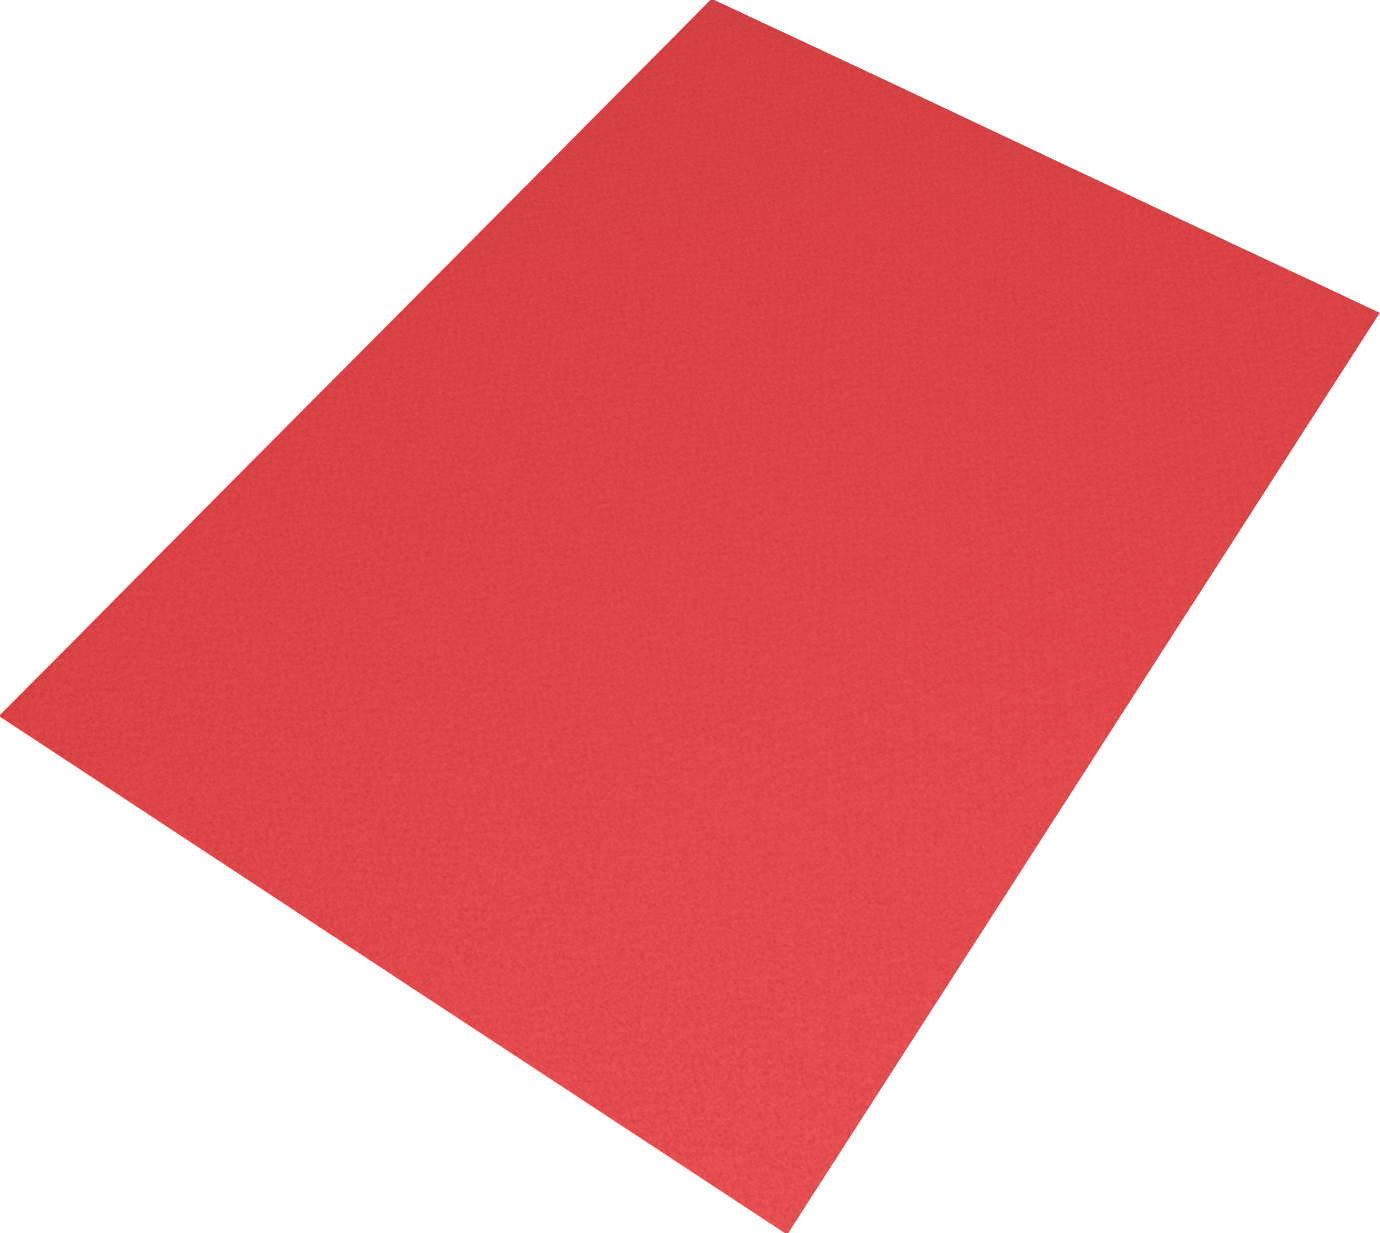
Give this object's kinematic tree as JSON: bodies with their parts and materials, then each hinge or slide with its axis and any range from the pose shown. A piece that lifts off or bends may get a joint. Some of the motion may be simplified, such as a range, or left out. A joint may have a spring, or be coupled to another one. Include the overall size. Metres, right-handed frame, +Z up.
{
  "type": "card sheet",
  "caption": "Flat rectangular sheet of bright red, mass-dyed craft card with guillotined edges.",
  "frame": {"origin": "centre of the underside, the face that the sheet lies on", "axes": "+Z up through the thickness, +Y along the long side, +X along the short side"},
  "size_m": [0.21, 0.297, 0.0003],
  "materials": {
    "red_card": "uncoated, matt, dyed through, with a faint machine-fabric mark"
  },
  "bodies": {
    "root": {"card_sheet": "red_card"}
  },
  "joints": []
}
